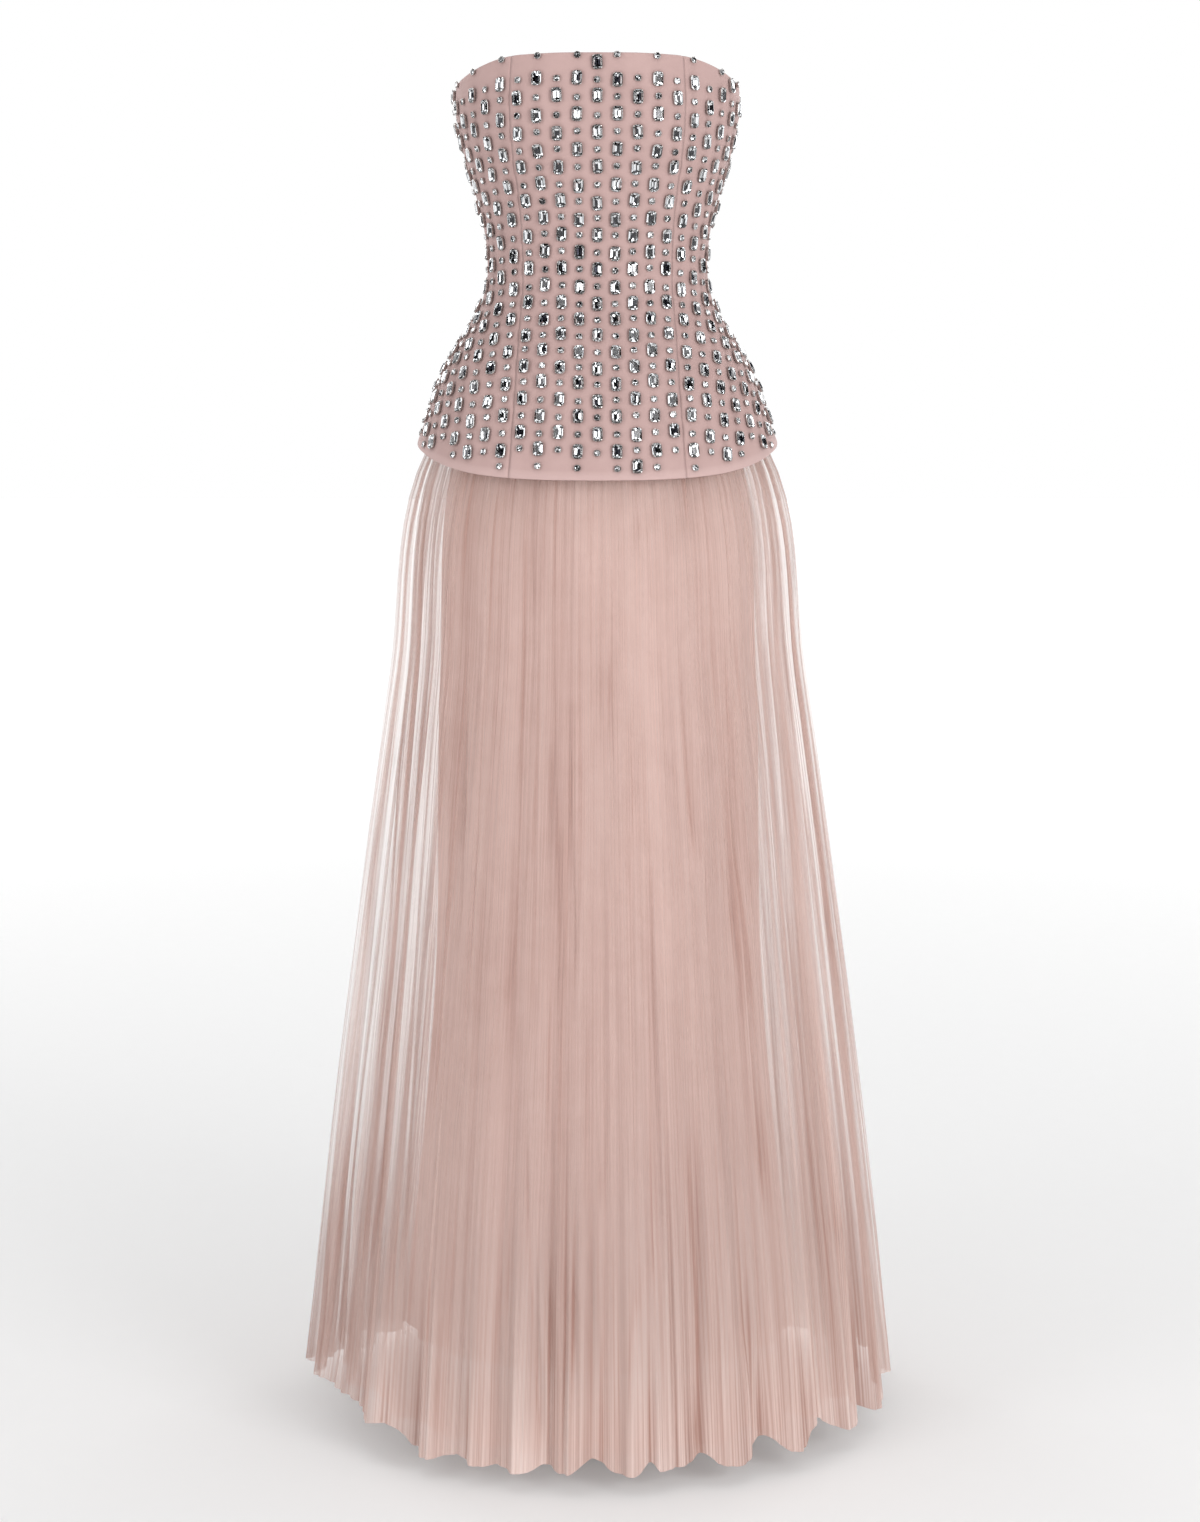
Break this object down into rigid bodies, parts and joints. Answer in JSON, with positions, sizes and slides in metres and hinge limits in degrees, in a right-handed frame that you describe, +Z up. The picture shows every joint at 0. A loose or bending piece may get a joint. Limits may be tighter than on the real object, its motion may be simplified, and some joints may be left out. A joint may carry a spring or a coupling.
{
  "type": "strapless gown",
  "caption": "Strapless gown with a crystal-set bodice cut in one with a flared peplum, over a full-length gathered tulle skirt; open at top and hem, concealed back zip with a swinging pull tab.",
  "frame": {"origin": "centre of the waist, inside the bodice, where the wearer's waist holds the gown", "axes": "+Z up along the body, -Y is the front, +X is the wearer's left"},
  "size_m": [0.5952, 0.5927, 1.3353],
  "materials": {
    "bodice_cloth": "satin-backed crepe, mauve pink, with crystals",
    "tulle": "layered fine tulle, pale pink, matt",
    "lining_cloth": "plain lining, pink",
    "zip_tape_cloth": "woven tape",
    "zip_metal": "coloured metal, satin",
    "crystal": "clear cut crystal, foil backed",
    "crystal_setting": "dark silver claw settings"
  },
  "bodies": {
    "gown": {"bodice_front": "bodice_cloth", "bodice_side_front_left": "bodice_cloth", "bodice_side_front_right": "bodice_cloth", "bodice_side_back_left": "bodice_cloth", "bodice_side_back_right": "bodice_cloth", "bodice_back_left": "bodice_cloth", "bodice_back_right": "bodice_cloth", "skirt_front": "tulle", "skirt_back_left": "tulle", "skirt_back_right": "tulle", "lining_front": "lining_cloth", "lining_back": "lining_cloth", "zip_tape": "zip_tape_cloth", "zip_slider": "zip_metal"},
    "pull": {"zip_pull": "zip_metal"}
  },
  "joints": [
    {"name": "pull_hinge", "type": "hinge", "parent": "gown", "child": "pull", "pos_m": [0, 0.10089, 0.15182], "axis": [1, 0, 0], "range_deg": [0, 160]}
  ]
}
